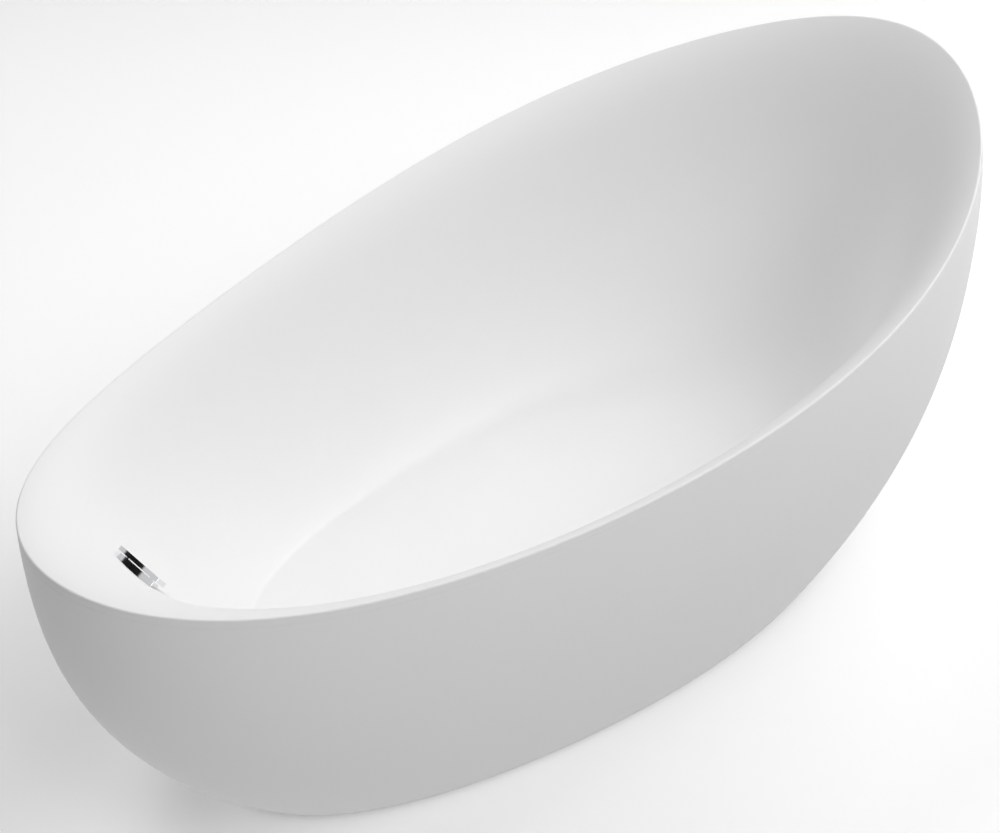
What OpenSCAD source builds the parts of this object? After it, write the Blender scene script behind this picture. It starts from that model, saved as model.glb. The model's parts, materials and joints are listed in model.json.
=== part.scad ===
// Freestanding egg-shaped bathtub: basin, outer shell, support frame, waste and overflow.
// +X runs towards the head end, +Z is up, and the origin is on the floor below the middle.

/* [Shell] */
// Overall length at the widest level
bath_l = 1900; // [1800:10:1950]
// Overall width at the widest level
bath_w = 950; // [900:10:980]
// Height of the rim at the foot end
foot_rim = 600; // [580:5:630]
// Height of the rim at the head end
head_rim = 800; // [760:5:840]
// How far the rim dips below the line between its two ends
rim_dip = 94; // [80:1:105]
// Height of the widest level
belt_z = 535; // [500:5:560]
// Share of the widest section that the body has lost at the floor
tuck = 0.235; // [0.18:0.005:0.26]
// Thickness of the outer shell
skin_t = 6; // [5:0.5:7]

/* [Basin] */
// Height of the bathing floor above the ground
basin_floor = 150; // [146:1:156]
// Thickness of the basin
basin_t = 8; // [6:0.5:9]
// Foot end of the bathing floor
floor_foot = -590; // [-610:5:-580]
// Head end of the bathing floor
floor_head = 490; // [460:5:520]
// Width of the bathing floor
floor_w = 510; // [480:5:540]

/* [Waste] */
// Distance of the waste from the middle of the bath
drain_x = -440; // [-450:1:-430]
// Lift of the push plug when it is open
plug_lift = 10; // [6:1:10]

/* [Feet] */
// Length of each frame rail
rail_l = 1010; // [980:10:1030]
// Distance between the two rails
rail_gap = 300; // [280:5:320]
// Height of the rails above the ground
rail_z = 98; // [98:1:102]

/* [Hidden] */
$fn = 48;

// Egg outline: how much wider it is towards the head, and how much the head end is drawn back in
egg_fat = 0.142;
egg_trim = 0.132;
// How late the body tucks in below its widest level
tuck_power = 2.3;
// Rim dip: its lean towards one end, and its flattening near both ends
rim_skew = 7;
rim_lift = 18;
// The basin wall rolls over from the rim and lands softly on the floor. Bezier handles set it:
// each triple holds the value at the foot end, at mid length and at the head end.
roll_reach = [0.43, 0.71, 0.33];
roll_drop = [0, 0.19, 0.30];
land_reach = [0.95, 0.49, 0.32];
// Bluntness of the floor's outline at mid length, and what the foot end adds to it
floor_blunt = 2.35;
floor_blunt_foot = 0.35;

// Points round each ring, rings down each skin, and how closely they crowd to the rim
around = 72;
shell_rows = 14;
wall_rows = 18;
row_bias = 1.3;

// Rim: rounding of its outer edge, the share of the wall where that ends, and the hanging lip
edge_r = 6;
edge_end = 0.012;
lip_h = 14;
lip_seam = 0.3;
// Share of the wall below which the basin is free of the lip
lip_clear = 0.1;
shell_bottom = 8;
trim_t = 4;
trim_drop = 5;
bead_gap = 1.2;
bead_h = 20;
bead_play = 2;
// Shares of the lip's sloping underside where the bead starts and ends
bead_on_lip = [0.03, 0.15];

// Frame
floor_under = basin_floor - 10;
board_t = 12;
board_under = floor_under - board_t;
board_share = 0.95;
board_hole_r = 80;
rail_w = 30;
rail_h = board_under - rail_z;
rail_wall = 2;
rail_x = -560;
bar_x = [-330, 40, 370];
foot_x = [-500, -50, 400];
screw_x = [-420, -180, 180, 320];
screw_r = 2.9;
stem_r = 6;
stem_top = rail_z + 14;
thread_play = 0.05;
insert_r = 11;
insert_h = 10;
nut_r = 10.5;
nut_h = 8;
pad_r = 25;
pad_top_r = 13;
pad_h = 14;
pad_edge = 6;
foot_places = [for (x = foot_x, side = [-1, 1]) [x, side * rail_gap / 2, 0]];
bracket_x = [-300, 250];
bracket_z = rail_z + 10;
bracket_w = 40;
bracket_t = 3;
bracket_gap = 4;
bracket_screw_z = bracket_z + 9;
bracket_screw_in = 6;

// Waste: the shallow dish in the floor, the flange in it and the body below
dish_r = 150;
dish_drop = 3;
seat_r = 38;
seat_z = basin_floor - dish_drop;
hole_r = 26;
flange_r = 35;
flange_t = 3;
flange_seal_t = 1;
flange_z = seat_z + flange_seal_t;
tube_r = hole_r - 1;
throat_r = 22;
hub_r = 10;
hub_bore_r = 8;
hub_h = 8;
hub_z = 126;
spoke_w = 4;
body_top = floor_under - 3;
body_bottom = 92;
body_r = 31;
body_rim_r = 40;
body_rim_t = 4;
inlet_z = 108;
inlet_x = drain_x - 62;

// Plug: the cap rests on the flange, and its stem slides in the cartridge
cap_r = 31;
cap_t = 4;
plug_seal_t = 1.2;
cap_z = flange_z + flange_t + plug_seal_t + 0.05;
plug_stem_r = 4;
stem_head_r = 5.5;
stem_head_h = 4;
stem_bottom = hub_z - stem_head_h;
cartridge_r = hub_bore_r - 0.05;
cartridge_bottom = hub_z - 18;
cartridge_stop = hub_z + plug_lift + 1;
cartridge_top = cartridge_stop + 3;
spring_r = 4.9;
spring_wire_r = 0.45;
spring_turns = 5;
spring_steps = 14;

// Trap and outlet
pipe_r = 20;
pipe_wall = 2;
pipe_end = 3;
bend_r = 22;
union_z = 66;
grip_t = 9;
cup_bottom = 12;
cup_r = 46;
cup_wall = 3;
cup_bevel = 6;
cup_roof = 62;
cup_neck = 78;
trap_nut_top = 86;
outlet_z = 40;
joint_x = drain_x + 81;
elbow_x = drain_x + 175;

// Overflow: its place on the foot wall as a share of the way down, and its sizes
overflow_s = 0.288;
// How much less than the wall the cover and the block behind it lean back
overflow_tilt = 10;
cover_w = 96;
cover_h = 20;
cover_t = 6.6;
cover_gap = 1.6;
cover_pocket = 3;
body_w = 85;
body_h = 14;
body_in = 3.8;
body_out = 9.2;
slot_w = 7;
slot_step = 10;
slot_skin = 1.2;
spacer_w = 8;
spacer_h = 6;
spacer_y = 30;
neck_w = 70;
neck_h = 10;
screw_y = 28;
housing_in = -basin_t - 3;
housing_out = housing_in - 30;
spigot_x = housing_out + 15;
spigot_r = 14;
spigot_l = 38;
hose_r = 16;
hose_bore_r = 11;
hose_nut_r = 21;
hose_steps = 5;
hose_bends = [[-828, 0, 320], [-805, 0, 210], [-735, 0, 135], [-640, 0, 110]];

// ---------- Shape of the bath ----------

// Half width of the egg outline: u runs from -1 at the foot end to 1 at the head end
function egg(u) = sqrt(max(0, 1 - u * u)) * (1 + egg_fat * u - egg_trim * pow(u, 3));
egg_peak = max([for (i = [0 : 200]) egg(i / 100 - 1)]);

// Size of the level section at height z, as a share of the widest one
function section(z) = 1 - tuck * pow(abs(belt_z - z) / belt_z, tuck_power);

function rim_z(u) = (foot_rim + head_rim) / 2 + (head_rim - foot_rim) / 2 * u
    - (1 - u * u) * (rim_dip - rim_skew * u + rim_lift * u * u);

// Point on the outer face: turn runs once round from the foot end, z is the height
function outside(turn, z) =
    let (u = -cos(turn), k = section(z), side = sin(turn) < 0 ? -1 : 1)
    [bath_l / 2 * u * k, side * bath_w / 2 * egg(u) / egg_peak * k, z];

// Level direction out of the body at that point
function outward(turn) =
    let (d = outside(turn + 1, belt_z) - outside(turn - 1, belt_z))
    [-d.y, d.x, 0] / norm(d);

// The same point moved into the body by d
function inside(turn, z, d) = outside(turn, z) - outward(turn) * d;

// Half the outer width at a given length and height
function half_width(x, z) =
    let (k = section(z)) bath_w / 2 * k * egg(x / (bath_l / 2 * k)) / egg_peak;

// Outline of the bathing floor
function floor_edge(turn) =
    let (u = -cos(turn), n = floor_blunt - floor_blunt_foot * u, side = sin(turn) < 0 ? -1 : 1)
    [(floor_foot + floor_head) / 2 + (floor_head - floor_foot) / 2 * u,
     side * floor_w / 2 * pow(max(0, 1 - pow(abs(u), n)), 1 / n), basin_floor];

// Value at u of a triple given at the foot end, mid length and head end
function along(triple, u) =
    triple[0] * u * (u - 1) / 2 + triple[1] * (1 - u * u) + triple[2] * u * (u + 1) / 2;

// Cubic Bezier from 0 to 1 with the two handles h1 and h2
function bezier(h1, h2, s) = 3 * s * pow(1 - s, 2) * h1 + 3 * s * s * (1 - s) * h2 + pow(s, 3);

// Bathing side of the basin wall: s runs from 0 at the rim to 1 at the floor
function wall(turn, s) =
    let (u = -cos(turn), rim = outside(turn, rim_z(u)), base = floor_edge(turn),
         reach = bezier(along(roll_reach, u), along(land_reach, u), s),
         drop = bezier(along(roll_drop, u), 1, s))
    [rim.x * (1 - reach) + base.x * reach, rim.y * (1 - reach) + base.y * reach,
     rim.z * (1 - drop) + base.z * drop];

// Unit direction from the wall towards the bather
function wall_face(turn, s) =
    let (down = wall(turn, s + 0.01) - wall(turn, s - 0.01),
         round = wall(turn + 1, s) - wall(turn - 1, s),
         d = cross(down, round))
    d / norm(d);

function under_wall(turn, s) = wall(turn, s) - wall_face(turn, s) * basin_t;

// Point of the shell: h runs from 0 at its bottom edge to 1 below the basin's lip
function shell_point(turn, h, d) =
    let (top = rim_z(-cos(turn)) - lip_h - lip_seam)
    inside(turn, shell_bottom + (top - shell_bottom) * h, d);

turns = [for (i = [0 : around - 1]) 360 * i / around];
wall_steps = [for (i = [1 : wall_rows - 1]) pow(i / wall_rows, row_bias)];
under_start = min([for (s = wall_steps) if (s > lip_clear) s]);

// Ring of the floor's outline at height z
function floor_ring(z) = [for (t = turns) floor_edge(t) + [0, 0, z - basin_floor]];

// Ring that follows the rim, d inside the outer face and drop below its top
function rim_ring(d, drop) = [for (t = turns) inside(t, rim_z(-cos(t)) - drop, d)];

// Ring just below the lip's underside, a share of the way from its outer corner to the wall
function under_lip_ring(share) =
    [for (t = turns)
        let (corner = inside(t, rim_z(-cos(t)) - lip_h, skin_t), end = under_wall(t, under_start))
        corner + (end - corner) * share - [0, 0, bead_play]];

// Ring of a swept tube: centre c, unit directions a and b across it
function hoop(c, a, b, r, sides) =
    [for (i = [0 : sides - 1]) let (t = 360 * i / sides) c + r * (cos(t) * a + sin(t) * b)];

// Point at t on the smooth curve from b to c, with a before it and d after it
function spline(a, b, c, d, t) =
    0.5 * (2 * b + (c - a) * t + (2 * a - 5 * b + 4 * c - d) * t * t
        + (3 * b - a - 3 * c + d) * pow(t, 3));

// ---------- Shared solids ----------

// Faces of a stack of equal rings, each joined to the next
function between(rows, count) =
    [for (r = [0 : rows - 2], i = [0 : count - 1])
        let (a = r * count + i, b = r * count + (i + 1) % count)
        each [[a, b, b + count], [a, b + count, a + count]]];

// Solid whose skin is a stack of rings, closed by a flat face at each end
module ring_stack(rings) {
    count = len(rings[0]);
    last = (len(rings) - 1) * count;
    bottom = [[for (i = [count - 1 : -1 : 0]) i]];
    top = [[for (i = [0 : count - 1]) last + i]];
    polyhedron([for (r = rings) each r], concat(bottom, between(len(rings), count), top));
}

// Solid band whose section is a closed loop of rings
module ring_band(rings) {
    count = len(rings[0]);
    total = len(rings) * count;
    faces = [for (f = between(len(rings) + 1, count)) [for (i = f) i % total]];
    polyhedron([for (r = rings) each r], faces);
}

// Hollow cylinder from z = 0 up
module ring(r_in, r_out, h) {
    difference() {
        cylinder(r = r_out, h = h);
        translate([0, 0, -1]) cylinder(r = r_in, h = h + 2);
    }
}

// Square tube along X, open at both ends
module tube_bar(size, t) {
    difference() {
        cube(size);
        translate([-1, t, t]) cube([size.x + 2, size.y - 2 * t, size.z - 2 * t]);
    }
}

module hex_nut(r, bore, h) {
    difference() {
        cylinder(r = r, h = h, $fn = 6);
        translate([0, 0, -1]) cylinder(r = bore, h = h + 2);
    }
}

// Grip grooves to cut into a plastic nut of radius r between two heights
module grip_grooves(r, low, high) {
    for (a = [0 : 30 : 330]) rotate(a) translate([r + 1, 0, low - 1])
        cylinder(r = 2, h = high - low + 2);
}

// Plate with rounded corners in the Y-Z plane, from x0 to x1
module slab(x0, x1, w, h, r) {
    translate([x0, 0, 0]) rotate([90, 0, 90]) linear_extrude(x1 - x0) union() {
        square([w - 2 * r, h], center = true);
        square([w, h - 2 * r], center = true);
        for (y = [-1, 1], z = [-1, 1]) translate([y * (w / 2 - r), z * (h / 2 - r)]) circle(r);
    }
}

module at_drain(z) {
    translate([drain_x, 0, z]) children();
}

// Frame of the outlet pipe: +Z runs towards the head end
module along_outlet(x) {
    translate([x, 0, outlet_z]) rotate([0, 90, 0]) children();
}

// Frame on the foot wall: +X out of the wall into the bath, +Z up the wall
overflow_face = wall_face(0, overflow_s);
overflow_lean = atan2(overflow_face.z, overflow_face.x);
module at_overflow() {
    translate(wall(0, overflow_s)) rotate([0, -overflow_lean, 0]) children();
}

// Frame of the cover and its block, which stand more upright than the wall
module at_cover() {
    at_overflow() translate([body_in, 0, 0]) rotate([0, overflow_tilt, 0])
        translate([-body_in, 0, 0]) children();
}

// ---------- Shell pieces ----------

module bath_basin() {
    underside = [for (i = [len(wall_steps) - 1 : -1 : 0]) if (wall_steps[i] >= under_start)
        [for (t = turns) under_wall(t, wall_steps[i])]];
    bevel = edge_r * (1 - sqrt(0.5));
    lip = [rim_ring(skin_t, lip_h), rim_ring(0, lip_h), rim_ring(0, edge_r), rim_ring(bevel, bevel)];
    face = [for (s = concat([edge_end], wall_steps)) [for (t = turns) wall(t, s)]];
    rings = concat([floor_ring(floor_under)], underside, lip, face, [floor_ring(basin_floor)]);
    color("white") difference() {
        ring_stack(rings);
        at_drain(floor_under - 1) cylinder(r = hole_r, h = 20);
        at_drain(seat_z) cylinder(r1 = seat_r, r2 = dish_r, h = dish_drop + 0.01);
        at_overflow() translate([-30, -neck_w / 2 - 1, -neck_h / 2 - 1])
            cube([60, neck_w + 2, neck_h + 2]);
    }
}

module outer_shell() {
    outer = [for (i = [0 : shell_rows]) [for (t = turns) shell_point(t, i / shell_rows, 0)]];
    inner = [for (i = [shell_rows : -1 : 0])
        [for (t = turns) shell_point(t, i / shell_rows, skin_t)]];
    color("white") ring_band(concat(outer, inner));
}

// Bead in the corner between the basin's underside and the shell
module rim_adhesive() {
    color("gainsboro") ring_band([rim_ring(skin_t + bead_gap, lip_h + bead_h),
        under_lip_ring(bead_on_lip[0]), under_lip_ring(bead_on_lip[1])]);
}

// Soft strip that the shell's lower edge sits in
module base_trim() {
    inner = skin_t - trim_t;
    corners = [[inner - 0.2, trim_drop], [inner - 0.2, 0], [skin_t, 0], [skin_t, trim_drop]];
    color("lightgrey") ring_band([for (c = corners)
        [for (t = turns) inside(t, shell_bottom - c[1], c[0])]]);
}

// ---------- Support frame ----------

module floor_board() {
    color("burlywood") difference() {
        translate([0, 0, board_under]) linear_extrude(board_t)
            polygon([for (p = floor_ring(0)) [p.x * board_share, p.y * board_share]]);
        at_drain(0) cylinder(r = board_hole_r, h = floor_under + 1);
    }
}

// Puts its children on both rails at each of the given lengths
module on_rails(xs) {
    for (x = xs, side = [-1, 1]) translate([x, side * rail_gap / 2, 0]) children();
}

module rail(side) {
    color("silver") difference() {
        translate([rail_x, side * rail_gap / 2 - rail_w / 2, rail_z])
            tube_bar([rail_l, rail_w, rail_h], rail_wall);
        on_rails(foot_x) translate([0, 0, rail_z - 1]) cylinder(r = stem_r + 1, h = rail_wall + 2);
        on_rails(screw_x) translate([0, 0, rail_z - 1])
            cylinder(r = screw_r + 0.1, h = rail_h + 2);
    }
}

module cross_bar(x) {
    inner = rail_gap - rail_w;
    color("silver") translate([x + rail_w / 2, -inner / 2, rail_z]) rotate(90)
        tube_bar([inner, rail_w, rail_h], rail_wall);
}

module rail_screws() {
    color("dimgrey") on_rails(screw_x) translate([0, 0, rail_z + rail_wall]) {
        cylinder(r = screw_r, h = rail_h + board_t - rail_wall - 3);
        cylinder(r = 5, h = 4);
    }
}

module thread_inserts() {
    color("silver") on_rails(foot_x) translate([0, 0, rail_z - insert_h])
        ring(stem_r + thread_play, insert_r, insert_h);
}

module lock_nuts() {
    color("goldenrod") on_rails(foot_x) translate([0, 0, rail_z - insert_h - nut_h])
        hex_nut(nut_r, stem_r + thread_play, nut_h);
}

module foot_stem(i) {
    socket_z = pad_h - pad_edge;
    color("silver") translate(foot_places[i - 1]) {
        translate([0, 0, socket_z]) cylinder(r = stem_r, h = stem_top - socket_z);
        translate([0, 0, pad_h]) cylinder(r = 10, h = 7, $fn = 6);
    }
}

module foot_pad(i) {
    color("dimgrey") translate(foot_places[i - 1]) difference() {
        union() {
            cylinder(r = pad_r, h = pad_edge);
            translate([0, 0, pad_edge]) cylinder(r1 = pad_r, r2 = pad_top_r, h = pad_h - pad_edge);
        }
        translate([0, 0, pad_h - pad_edge]) cylinder(r = stem_r, h = pad_edge + 1);
    }
}

// Z-shaped brackets from the rails to just short of the shell
module shell_brackets() {
    start = rail_gap / 2 + rail_w / 2;
    color("silver") for (x = bracket_x, side = [-1, 1]) {
        reach = half_width(x, bracket_z) - skin_t - bracket_gap - start;
        mirror([0, side < 0 ? 1 : 0, 0]) translate([x - bracket_w / 2, start, bracket_z]) {
            cube([bracket_w, reach, bracket_t]);
            translate([0, 0, -6]) cube([bracket_w, bracket_t, 20]);
            translate([0, reach - bracket_t, 0]) cube([bracket_w, bracket_t, 22]);
        }
    }
}

module bracket_screws() {
    start = rail_gap / 2 + rail_w / 2 - bracket_screw_in;
    length = bracket_screw_in + bracket_t;
    color("dimgrey") for (x = bracket_x, dx = [-12, 12], side = [-1, 1])
        translate([x + dx, side * start, bracket_screw_z]) rotate([-side * 90, 0, 0]) {
            cylinder(r = 2.5, h = length);
            translate([0, 0, length]) cylinder(r = 4.5, h = 3);
        }
}

// ---------- Waste and plug ----------

// Flange with its tube, and a hub on four spokes that holds the cartridge
module waste_flange() {
    ring_top = flange_z + flange_t;
    color("silver") at_drain(0) {
        rotate_extrude() polygon([[throat_r, hub_z], [tube_r, hub_z], [tube_r, flange_z],
            [flange_r, flange_z], [flange_r, ring_top - 1.5], [flange_r - 1.5, ring_top],
            [tube_r - 0.5, ring_top], [throat_r, ring_top - 2]]);
        difference() {
            for (a = [0, 90]) rotate(a) translate([-throat_r - 0.5, -spoke_w / 2, hub_z])
                cube([2 * throat_r + 1, spoke_w, hub_h]);
            translate([0, 0, hub_z - 1]) cylinder(r = hub_bore_r, h = hub_h + 2);
        }
        translate([0, 0, hub_z]) ring(hub_bore_r, hub_r, hub_h);
    }
}

module flange_seal() {
    color("dimgrey") at_drain(seat_z) ring(hole_r, flange_r - 1, flange_seal_t);
}

module body_seal() {
    color("dimgrey") at_drain(body_top) ring(hole_r + 1, body_rim_r - 2, floor_under - body_top);
}

module waste_body() {
    inlet_l = drain_x - 22 - inlet_x;
    color("whitesmoke") difference() {
        union() {
            at_drain(body_bottom) cylinder(r = body_r, h = body_top - body_bottom);
            at_drain(body_top - body_rim_t) cylinder(r = body_rim_r, h = body_rim_t);
            at_drain(union_z + 6) cylinder(r = pipe_r, h = body_bottom - union_z - 5);
            translate([inlet_x, 0, inlet_z]) rotate([0, 90, 0]) cylinder(r = spigot_r, h = inlet_l);
        }
        at_drain(body_bottom + 3) cylinder(r = tube_r + 0.1, h = 60);
        at_drain(union_z) cylinder(r = pipe_r - pipe_wall - 1, h = 40);
        translate([inlet_x - 1, 0, inlet_z]) rotate([0, 90, 0])
            cylinder(r = hose_bore_r, h = inlet_l + 10);
    }
}

module plug_cap() {
    crown = 2;
    dome = [for (a = [0 : 15 : 90]) [cap_r * cos(a), cap_t - crown + crown * sin(a)]];
    color("silver") at_drain(cap_z) rotate_extrude()
        polygon(concat([[0, 0], [cap_r - 1, 0], [cap_r, 1]], dome));
}

module plug_seal() {
    color("dimgrey") at_drain(cap_z - plug_seal_t) ring(throat_r + 2.5, throat_r + 6.5, plug_seal_t);
}

module plug_stem() {
    color("goldenrod") at_drain(stem_bottom) {
        cylinder(r = plug_stem_r, h = cap_z - stem_bottom);
        cylinder(r = stem_head_r, h = stem_head_h);
    }
}

// Cup that holds the spring; its collar stops the stem's head at full lift
module plug_cartridge() {
    collar_r = plug_stem_r + thread_play;
    color("goldenrod") at_drain(0) difference() {
        translate([0, 0, cartridge_bottom])
            cylinder(r = cartridge_r, h = cartridge_top - cartridge_bottom);
        translate([0, 0, cartridge_bottom + 2])
            cylinder(r = 6.2, h = cartridge_stop - cartridge_bottom - 2);
        translate([0, 0, cartridge_stop - 1]) cylinder(r = collar_r, h = 10);
    }
}

module plug_spring() {
    low = cartridge_bottom + 2.6;
    high = stem_bottom - 0.6;
    steps = spring_turns * spring_steps;
    rings = [for (i = [0 : steps])
        let (a = 360 * i / spring_steps, out = [cos(a), sin(a), 0],
             z = low + (high - low) * i / steps)
        hoop(spring_r * out + [0, 0, z], out, [0, 0, 1], spring_wire_r, 6)];
    color("silver") at_drain(0) ring_stack(rings);
}

module trap_seal() {
    color("dimgrey") at_drain(cup_neck) ring(pipe_r + 0.05, pipe_r + 2.5, 3);
}

module trap_nut() {
    nut_r = pipe_r + grip_t;
    lid = 3;
    color("whitesmoke") at_drain(0) difference() {
        translate([0, 0, cup_roof]) cylinder(r = nut_r, h = trap_nut_top - cup_roof);
        translate([0, 0, cup_roof - 1]) cylinder(r = pipe_r + 4, h = trap_nut_top - lid - cup_roof + 1);
        translate([0, 0, cup_roof]) cylinder(r = pipe_r + 0.2, h = 30);
        grip_grooves(nut_r, cup_roof, trap_nut_top);
    }
}

// Half section of a round tub with a bevelled bottom edge
module tub(r, h) {
    rotate_extrude() polygon([[0, 0], [r - cup_bevel, 0], [r, cup_bevel], [r, h], [0, h]]);
}

module trap_cup() {
    outlet_start = drain_x + cup_r - cup_wall;
    color("whitesmoke") difference() {
        union() {
            at_drain(cup_bottom) tub(cup_r, cup_roof - cup_bottom);
            at_drain(cup_roof - 1) cylinder(r = pipe_r + 3.9, h = cup_neck - cup_roof + 1);
            along_outlet(outlet_start) cylinder(r = pipe_r, h = joint_x - outlet_start);
        }
        at_drain(cup_bottom + cup_wall)
            tub(cup_r - cup_wall, cup_roof - cup_bottom - 2 * cup_wall);
        at_drain(cup_roof - 10) cylinder(r = pipe_r + 0.05, h = 40);
        along_outlet(drain_x + 30) cylinder(r = pipe_r - pipe_wall, h = 80);
    }
}

module outlet_seal() {
    color("dimgrey") along_outlet(joint_x + 0.5) ring(pipe_r - pipe_wall, pipe_r + 2.5, 3);
}

module outlet_nut() {
    nut_r = pipe_r + grip_t;
    color("whitesmoke") along_outlet(joint_x - 12) difference() {
        ring(pipe_r + 0.2, nut_r, 24);
        translate([0, 0, 12]) cylinder(r = pipe_r + 3, h = 4);
        grip_grooves(nut_r, 0, 24);
    }
}

module outlet_elbow() {
    start = joint_x + 4;
    bore_r = pipe_r - pipe_wall;
    color("whitesmoke") {
        along_outlet(start) ring(bore_r, pipe_r, elbow_x - bend_r - start);
        translate([elbow_x - bend_r, 0, outlet_z - bend_r]) rotate([90, 0, 0])
            rotate_extrude(angle = 90) translate([bend_r, 0]) difference() {
                circle(pipe_r);
                circle(bore_r);
            }
        translate([elbow_x, 0, pipe_end]) ring(bore_r, pipe_r, outlet_z - bend_r - pipe_end);
    }
}

// ---------- Overflow ----------

module overflow_cover() {
    back = body_out + cover_gap;
    color("silver") at_cover() difference() {
        slab(back, back + cover_t, cover_w, cover_h, 2);
        translate([back - 1, -body_w / 2 + 6, -cover_h / 2 + 3])
            cube([cover_pocket + 1, body_w - 12, cover_h - 6]);
    }
}

// Block behind the cover, with water slots in its lower side and two spacers on its face
module overflow_block() {
    depth = body_out - body_in - 2 * slot_skin;
    difference() {
        slab(body_in, body_out, body_w, body_h, 2);
        for (i = [-2 : 2]) translate([body_in + slot_skin, i * slot_step - slot_w / 2, -body_h])
            cube([depth, slot_w, body_h]);
    }
    for (y = [-1, 1]) translate([body_out - 1, y * spacer_y - spacer_w / 2, -spacer_h / 2])
        cube([1 + cover_gap + cover_pocket, spacer_w, spacer_h]);
}

// The block and its hollow neck into the wall
module overflow_body() {
    neck_end = -basin_t - 14;
    color("silver") difference() {
        union() {
            at_cover() overflow_block();
            at_overflow() slab(neck_end, body_in + 2, neck_w, neck_h, 2);
        }
        at_overflow() slab(neck_end - 1, body_out - 3, neck_w - 24, neck_h - 4, 1);
        at_overflow() for (y = [-1, 1]) translate([-30, y * screw_y, 0]) rotate([0, 90, 0])
            cylinder(r = 2.2, h = 22);
    }
}

module overflow_seal() {
    color("dimgrey") at_overflow() difference() {
        slab(housing_in, -basin_t - 0.3, body_w - 4, body_h + 8, 4);
        slab(housing_in - 1, -basin_t + 1, neck_w + 1, neck_h + 1, 2);
    }
}

// Upright frame at the housing's spigot, at the height of the overflow's middle
module at_spigot(z) {
    translate([spigot_x, 0, 0]) rotate([0, overflow_lean, 0]) translate([0, 0, z]) children();
}

module overflow_housing() {
    color("whitesmoke") at_overflow() difference() {
        union() {
            slab(housing_in - 4, housing_in, body_w + 6, body_h + 14, 4);
            slab(housing_out, housing_in - 3, body_w, body_h + 6, 4);
            at_spigot(-spigot_l) cylinder(r = spigot_r, h = spigot_l);
        }
        slab(housing_in - 26, housing_in + 1, neck_w + 0.4, neck_h + 0.4, 2);
        at_spigot(-spigot_l - 1) cylinder(r = hose_bore_r, h = spigot_l + 1);
        for (y = [-1, 1]) translate([-60, y * screw_y, 0]) rotate([0, 90, 0])
            cylinder(r = 2, h = 40);
    }
}

module overflow_screws() {
    color("dimgrey") at_overflow() for (y = [-1, 1]) translate([housing_out, y * screw_y, 0])
        rotate([0, 90, 0]) {
            cylinder(r = 1.95, h = 28);
            translate([0, 0, -3]) cylinder(r = 3.6, h = 3.01);
        }
}

// Route of the hose from the housing's spigot down to the waste body
spigot_end = wall(0, overflow_s) + spigot_x * overflow_face - [0, 0, spigot_l];
hose_route = concat([spigot_end], hose_bends, [[inlet_x, 0, inlet_z]]);

module overflow_hose() {
    last = len(hose_route) - 1;
    line = concat([for (i = [0 : last - 1], k = [0 : hose_steps - 1])
        spline(hose_route[max(0, i - 1)], hose_route[i], hose_route[i + 1],
            hose_route[min(last, i + 2)], k / hose_steps)], [hose_route[last]]);
    end = len(line) - 1;
    rings = [for (i = [end : -1 : 0])
        let (way = i == 0 ? [0, 0, -1] : i == end ? [1, 0, 0] : line[i + 1] - line[i - 1],
             across = cross([0, 1, 0], way / norm(way)))
        hoop(line[i], [0, 1, 0], across, hose_r, 12)];
    color("lightgrey") ring_stack(rings);
}

// Union nut: the narrow half holds the rigid spigot, the wide half the hose
module hose_nut() {
    difference() {
        translate([0, 0, -14]) cylinder(r = hose_nut_r, h = 28);
        cylinder(r = spigot_r + 0.2, h = 15);
        translate([0, 0, -15]) cylinder(r = hose_r + 0.3, h = 15.01);
        grip_grooves(hose_nut_r, -14, 14);
    }
}

module hose_nut_top() {
    color("whitesmoke") translate(spigot_end) hose_nut();
}

module hose_nut_bottom() {
    color("whitesmoke") translate([inlet_x, 0, inlet_z]) rotate([0, 90, 0]) hose_nut();
}

bath_basin();
outer_shell();
rim_adhesive();
base_trim();
floor_board();
rail(1);  // frame_rail_left
rail(-1);  // frame_rail_right
cross_bar(bar_x[0]);  // cross_bar_foot
cross_bar(bar_x[1]);  // cross_bar_middle
cross_bar(bar_x[2]);  // cross_bar_head
rail_screws();
thread_inserts();
lock_nuts();
shell_brackets();
bracket_screws();
foot_stem(1);  // foot_stem_1
foot_stem(2);  // foot_stem_2
foot_stem(3);  // foot_stem_3
foot_stem(4);  // foot_stem_4
foot_stem(5);  // foot_stem_5
foot_stem(6);  // foot_stem_6
foot_pad(1);  // foot_pad_1
foot_pad(2);  // foot_pad_2
foot_pad(3);  // foot_pad_3
foot_pad(4);  // foot_pad_4
foot_pad(5);  // foot_pad_5
foot_pad(6);  // foot_pad_6
waste_flange();
flange_seal();
body_seal();
waste_body();
plug_cap();
plug_seal();
plug_stem();
plug_cartridge();
plug_spring();
trap_seal();
trap_nut();
trap_cup();
outlet_seal();
outlet_nut();
outlet_elbow();
overflow_cover();
overflow_body();
overflow_seal();
overflow_housing();
overflow_screws();
overflow_hose();
hose_nut_top();
hose_nut_bottom();
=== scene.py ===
"""Looks of the freestanding bathtub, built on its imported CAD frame. Metres, +X to the head end, +Z up."""
import json
import math

import bpy
from mathutils import Matrix, Vector


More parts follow.
